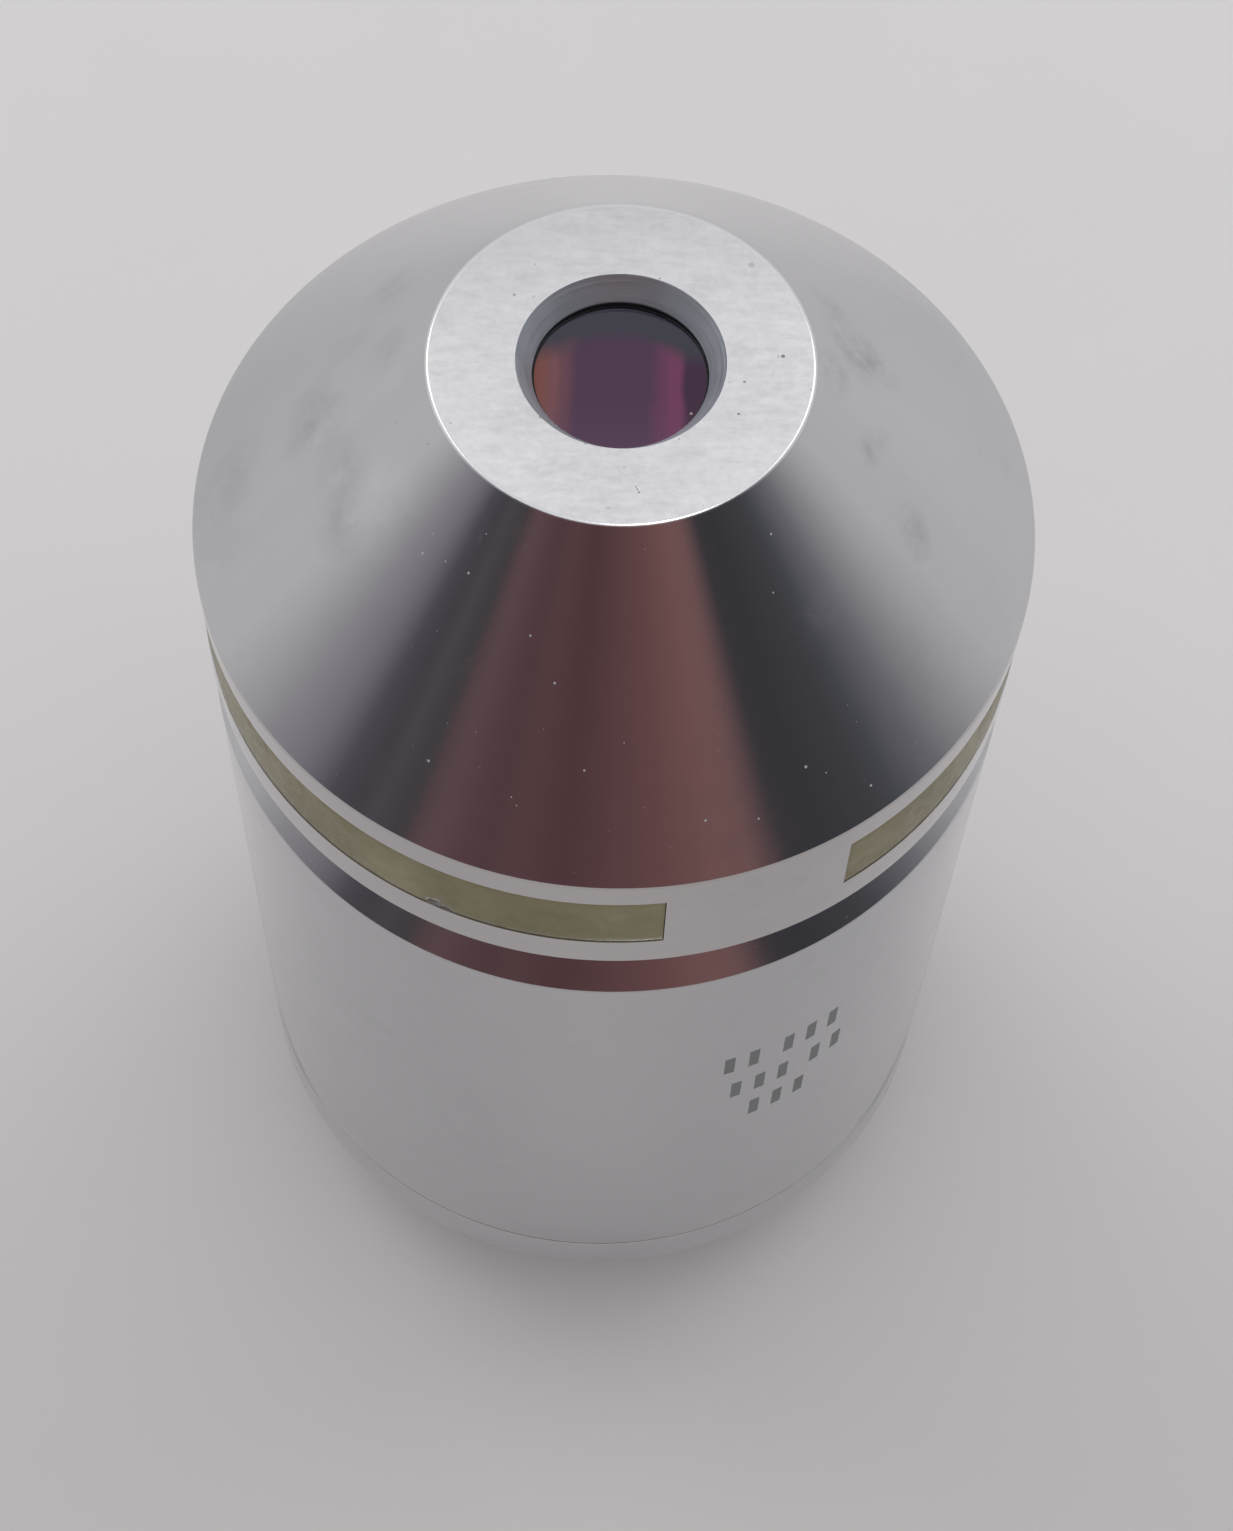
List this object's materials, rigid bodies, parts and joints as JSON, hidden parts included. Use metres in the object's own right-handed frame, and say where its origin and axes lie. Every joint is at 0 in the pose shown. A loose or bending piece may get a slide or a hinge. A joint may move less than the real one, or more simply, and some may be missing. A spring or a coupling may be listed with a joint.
{
  "type": "microscope objective lens",
  "caption": "Chrome microscope objective with conical nose, recessed coated front lens, colour band and threaded rear; also used as a laser collimating lens.",
  "frame": {"origin": "centre of the rear end face of the mounting thread, which the part stands on", "axes": "+Z along the optical axis from the threaded rear end to the conical nose; -Y is the front, beside the gap in the colour band; +X is to the right seen from the front"},
  "size_m": [0.024, 0.024, 0.0428],
  "materials": {
    "chrome": "bright chrome plating over brass with a fine handling haze, lapped front face",
    "band_enamel": "olive-yellow enamel in a shallow groove",
    "brass": "turned brass",
    "black_anodised": "black anodised, fine turning marks",
    "matt_black_paint": "matt black anti-reflection paint",
    "coated_glass": "polished, magenta to violet anti-reflection coating",
    "coated_glass_rear": "polished, violet anti-reflection coating",
    "crown_glass": "polished, clear, cemented"
  },
  "bodies": {
    "body": {"thread_mount": "chrome", "barrel": "chrome", "parfocal_shim": "brass", "lens_sleeve": "brass", "sleeve_lock_ring": "brass", "front_lens_cell": "black_anodised", "front_retaining_ring": "black_anodised", "rear_lens_cell": "black_anodised", "rear_retaining_ring": "black_anodised", "stack_lock_ring": "black_anodised", "spacer_tube": "matt_black_paint", "aperture_stop": "matt_black_paint", "rear_baffle": "matt_black_paint", "front_flint": "coated_glass", "front_crown": "crown_glass", "rear_flint": "crown_glass", "rear_crown": "coated_glass_rear"},
    "seat_washer": {"nose_seat_washer": "brass"},
    "nose": {"nose_jacket": "chrome", "colour_band": "band_enamel"}
  },
  "joints": [
    {"name": "nose_travel", "type": "slide", "parent": "body", "child": "seat_washer", "axis": [0, 0, 1], "range_m": [0, 0.00352]},
    {"name": "nose_turn", "type": "hinge", "parent": "seat_washer", "child": "nose", "pos_m": [0, 0, 0.0298], "axis": [0, 0, 1], "range_deg": [0, 2520]}
  ],
  "couplings": [
    {"joint": "nose_travel", "follows": "nose_turn", "m_per_rad": 0.000079577}
  ]
}
